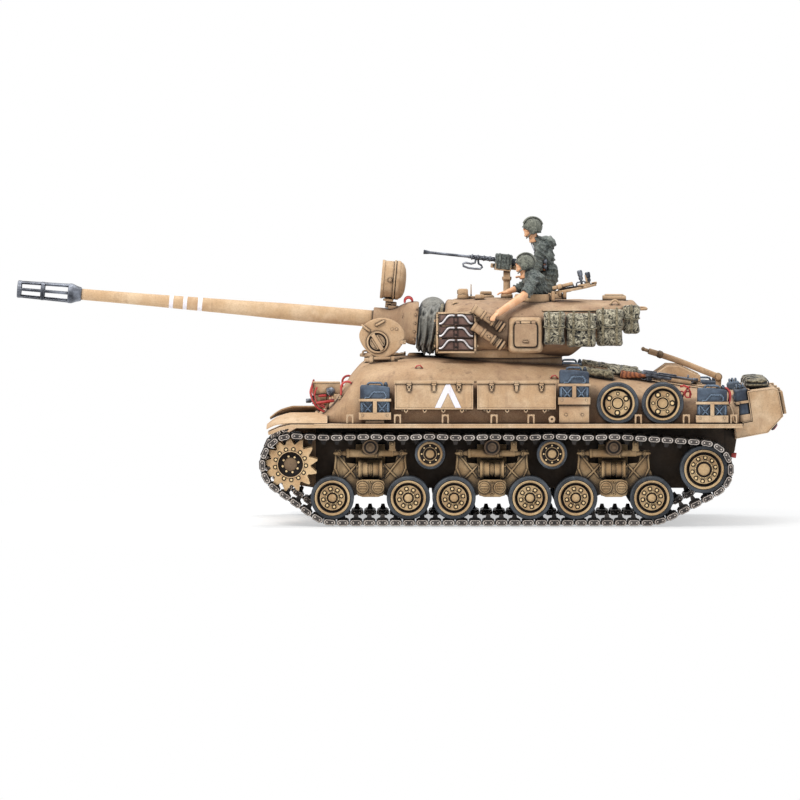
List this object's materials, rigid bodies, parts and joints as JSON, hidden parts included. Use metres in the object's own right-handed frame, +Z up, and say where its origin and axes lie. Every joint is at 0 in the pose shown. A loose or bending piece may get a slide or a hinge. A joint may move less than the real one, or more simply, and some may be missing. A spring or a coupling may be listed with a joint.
{
  "type": "rc tank",
  "caption": "Radio-controlled model tank: cast hull, long-gun turret on a ring, sprung wheel bogies and link tracks, open hatches, stowage and crew figures.",
  "frame": {"origin": "centre of the bounding box on the ground under the tracks", "axes": "+X to the rear along the hull, +Y to the vehicle's right, +Z up; the gun points to -X"},
  "size_m": [0.5818, 0.1888, 0.2311],
  "materials": {
    "sand_paint": "matt, worn and washed sand paint",
    "dark_sand_paint": "matt sand paint under a dark earth wash",
    "navy_paint": "dark blue-black paint",
    "rubber": "dull black rubber with dust",
    "canvas": "grey canvas",
    "gun_metal": "dark grey, dull",
    "motor_can": "plated steel cans",
    "cell_wrap": "blue sleeve",
    "board": "green circuit board",
    "bare_steel": "worn steel with dusty recesses",
    "plastic_dark": "moulded black plastic",
    "rack_mix": "painted rack with rusty links",
    "camouflage": "green and cream camouflage cloth",
    "uniform": "grey-green cloth"
  },
  "bodies": {
    "hull": {"hull_tub": "sand_paint", "nose_cover": "sand_paint", "upper_hull": "sand_paint", "engine_deck": "sand_paint", "fenders": "sand_paint", "bogie_brackets": "dark_sand_paint", "suspension_arms": "dark_sand_paint", "springs_and_dampers": "dark_sand_paint", "return_rollers": "dark_sand_paint", "side_boxes_left": "sand_paint", "side_boxes_right": "sand_paint", "fuel_cans": "navy_paint", "spare_wheels": "rubber", "rear_box": "sand_paint", "deck_bundles": "canvas", "stowed_rifle": "gun_metal", "front_fittings": "sand_paint", "gearmotors": "motor_can", "battery_pack": "cell_wrap", "control_board": "board", "track_left": "bare_steel", "track_right": "bare_steel"},
    "driver_hatch": {"driver_hatch": "sand_paint"},
    "codriver_hatch": {"codriver_hatch": "sand_paint"},
    "travel_lock": {"travel_lock": "sand_paint"},
    "box_lids_left": {"box_lids_left": "sand_paint"},
    "box_lids_right": {"box_lids_right": "sand_paint"},
    "power_switch": {"power_switch": "plastic_dark"},
    "turret": {"turret_shell": "sand_paint", "mantlet_cover": "canvas", "track_rack": "rack_mix", "turret_packs": "camouflage", "commander_figure": "uniform", "loader_figure": "uniform", "elevation_gearmotor": "motor_can"},
    "gun": {"mantlet": "sand_paint", "gun_barrel": "sand_paint", "muzzle_brake": "gun_metal", "searchlight": "sand_paint"},
    "commander_hatch": {"commander_hatch": "sand_paint"},
    "loader_hatch": {"loader_hatch": "sand_paint"},
    "gun_pedestal": {"gun_pedestal": "sand_paint"},
    "machine_gun": {"machine_gun": "gun_metal"},
    "port_door": {"port_door": "sand_paint"},
    "sprocket_left": {"sprocket_left": "sand_paint"},
    "idler_left": {"idler_left": "rubber"},
    "road_wheel_left_1": {"road_wheel_left_1": "rubber"},
    "road_wheel_left_2": {"road_wheel_left_2": "rubber"},
    "road_wheel_left_3": {"road_wheel_left_3": "rubber"},
    "road_wheel_left_4": {"road_wheel_left_4": "rubber"},
    "road_wheel_left_5": {"road_wheel_left_5": "rubber"},
    "road_wheel_left_6": {"road_wheel_left_6": "rubber"},
    "sprocket_right": {"sprocket_right": "sand_paint"},
    "idler_right": {"idler_right": "rubber"},
    "road_wheel_right_1": {"road_wheel_right_1": "rubber"},
    "road_wheel_right_2": {"road_wheel_right_2": "rubber"},
    "road_wheel_right_3": {"road_wheel_right_3": "rubber"},
    "road_wheel_right_4": {"road_wheel_right_4": "rubber"},
    "road_wheel_right_5": {"road_wheel_right_5": "rubber"},
    "road_wheel_right_6": {"road_wheel_right_6": "rubber"}
  },
  "joints": [
    {"name": "turret_traverse", "type": "hinge", "parent": "hull", "child": "turret", "pos_m": [0.07674, 0, 0.12], "axis": [0, 0, 1], "range_deg": [-100, 5]},
    {"name": "gun_elevation", "type": "hinge", "parent": "turret", "child": "gun", "pos_m": [0.03874, 0, 0.1481], "axis": [0, 1, 0], "range_deg": [-9.8, 10.2], "deforming": ["mantlet_cover"]},
    {"name": "commander_hatch_hinge", "type": "hinge", "parent": "turret", "child": "commander_hatch", "pos_m": [0.12584, 0.022, 0.1731], "axis": [0, 1, 0], "range_deg": [-60, 0]},
    {"name": "loader_hatch_hinge", "type": "hinge", "parent": "turret", "child": "loader_hatch", "pos_m": [0.11614, -0.022, 0.1731], "axis": [0, 1, 0], "range_deg": [-50, 0]},
    {"name": "pedestal_traverse", "type": "hinge", "parent": "turret", "child": "gun_pedestal", "pos_m": [0.08144, 0, 0.18], "axis": [0, 0, 1], "range_deg": [-20, 20]},
    {"name": "machine_gun_elevation", "type": "hinge", "parent": "gun_pedestal", "child": "machine_gun", "pos_m": [0.08144, 0, 0.192], "axis": [0, 1, 0], "range_deg": [-10, 15]},
    {"name": "port_door_hinge", "type": "hinge", "parent": "turret", "child": "port_door", "pos_m": [0.09484, -0.0627, 0.1518], "axis": [1, 0, 0], "range_deg": [-100, 0]},
    {"name": "driver_hatch_hinge", "type": "hinge", "parent": "hull", "child": "driver_hatch", "pos_m": [-0.01326, -0.045, 0.1245], "axis": [1, 0, 0], "range_deg": [-88, 0]},
    {"name": "codriver_hatch_hinge", "type": "hinge", "parent": "hull", "child": "codriver_hatch", "pos_m": [-0.01326, 0.045, 0.1245], "axis": [1, 0, 0], "range_deg": [-90, 0]},
    {"name": "left_lids_hinge", "type": "hinge", "parent": "hull", "child": "box_lids_left", "pos_m": [0.07674, -0.0834, 0.1081], "axis": [1, 0, 0], "range_deg": [-95, 0]},
    {"name": "right_lids_hinge", "type": "hinge", "parent": "hull", "child": "box_lids_right", "pos_m": [0.07674, 0.0834, 0.1081], "axis": [1, 0, 0], "range_deg": [0, 95]},
    {"name": "travel_lock_pivot", "type": "hinge", "parent": "hull", "child": "travel_lock", "pos_m": [0.24224, 0, 0.109], "axis": [0, 1, 0], "range_deg": [-8, 60]},
    {"name": "power_switch_slide", "type": "slide", "parent": "hull", "child": "power_switch", "axis": [1, 0, 0], "range_m": [0, 0.004]},
    {"name": "left_sprocket_spin", "type": "hinge", "parent": "hull", "child": "sprocket_left", "pos_m": [-0.08176, 0, 0.0463], "axis": [0, 1, 0], "continuous": true},
    {"name": "left_idler_spin", "type": "hinge", "parent": "hull", "child": "idler_left", "pos_m": [0.22824, 0, 0.0424], "axis": [0, 1, 0], "continuous": true},
    {"name": "left_wheel_1_spin", "type": "hinge", "parent": "hull", "child": "road_wheel_left_1", "pos_m": [-0.05046, 0, 0.021], "axis": [0, 1, 0], "continuous": true},
    {"name": "left_wheel_2_spin", "type": "hinge", "parent": "hull", "child": "road_wheel_left_2", "pos_m": [0.00654, 0, 0.021], "axis": [0, 1, 0], "continuous": true},
    {"name": "left_wheel_3_spin", "type": "hinge", "parent": "hull", "child": "road_wheel_left_3", "pos_m": [0.04084, 0, 0.021], "axis": [0, 1, 0], "continuous": true},
    {"name": "left_wheel_4_spin", "type": "hinge", "parent": "hull", "child": "road_wheel_left_4", "pos_m": [0.09784, 0, 0.021], "axis": [0, 1, 0], "continuous": true},
    {"name": "left_wheel_5_spin", "type": "hinge", "parent": "hull", "child": "road_wheel_left_5", "pos_m": [0.13214, 0, 0.021], "axis": [0, 1, 0], "continuous": true},
    {"name": "left_wheel_6_spin", "type": "hinge", "parent": "hull", "child": "road_wheel_left_6", "pos_m": [0.18914, 0, 0.021], "axis": [0, 1, 0], "continuous": true},
    {"name": "right_sprocket_spin", "type": "hinge", "parent": "hull", "child": "sprocket_right", "pos_m": [-0.08176, 0, 0.0463], "axis": [0, 1, 0], "continuous": true},
    {"name": "right_idler_spin", "type": "hinge", "parent": "hull", "child": "idler_right", "pos_m": [0.22824, 0, 0.0424], "axis": [0, 1, 0], "continuous": true},
    {"name": "right_wheel_1_spin", "type": "hinge", "parent": "hull", "child": "road_wheel_right_1", "pos_m": [-0.05046, 0, 0.021], "axis": [0, 1, 0], "continuous": true},
    {"name": "right_wheel_2_spin", "type": "hinge", "parent": "hull", "child": "road_wheel_right_2", "pos_m": [0.00654, 0, 0.021], "axis": [0, 1, 0], "continuous": true},
    {"name": "right_wheel_3_spin", "type": "hinge", "parent": "hull", "child": "road_wheel_right_3", "pos_m": [0.04084, 0, 0.021], "axis": [0, 1, 0], "continuous": true},
    {"name": "right_wheel_4_spin", "type": "hinge", "parent": "hull", "child": "road_wheel_right_4", "pos_m": [0.09784, 0, 0.021], "axis": [0, 1, 0], "continuous": true},
    {"name": "right_wheel_5_spin", "type": "hinge", "parent": "hull", "child": "road_wheel_right_5", "pos_m": [0.13214, 0, 0.021], "axis": [0, 1, 0], "continuous": true},
    {"name": "right_wheel_6_spin", "type": "hinge", "parent": "hull", "child": "road_wheel_right_6", "pos_m": [0.18914, 0, 0.021], "axis": [0, 1, 0], "continuous": true}
  ],
  "couplings": [
    {"joint": "left_idler_spin", "follows": "left_sprocket_spin", "ratio": 1.1441},
    {"joint": "left_wheel_1_spin", "follows": "left_sprocket_spin", "ratio": 1.2603},
    {"joint": "left_wheel_2_spin", "follows": "left_sprocket_spin", "ratio": 1.2603},
    {"joint": "left_wheel_3_spin", "follows": "left_sprocket_spin", "ratio": 1.2603},
    {"joint": "left_wheel_4_spin", "follows": "left_sprocket_spin", "ratio": 1.2603},
    {"joint": "left_wheel_5_spin", "follows": "left_sprocket_spin", "ratio": 1.2603},
    {"joint": "left_wheel_6_spin", "follows": "left_sprocket_spin", "ratio": 1.2603},
    {"joint": "right_idler_spin", "follows": "right_sprocket_spin", "ratio": 1.1441},
    {"joint": "right_wheel_1_spin", "follows": "right_sprocket_spin", "ratio": 1.2603},
    {"joint": "right_wheel_2_spin", "follows": "right_sprocket_spin", "ratio": 1.2603},
    {"joint": "right_wheel_3_spin", "follows": "right_sprocket_spin", "ratio": 1.2603},
    {"joint": "right_wheel_4_spin", "follows": "right_sprocket_spin", "ratio": 1.2603},
    {"joint": "right_wheel_5_spin", "follows": "right_sprocket_spin", "ratio": 1.2603},
    {"joint": "right_wheel_6_spin", "follows": "right_sprocket_spin", "ratio": 1.2603}
  ]
}
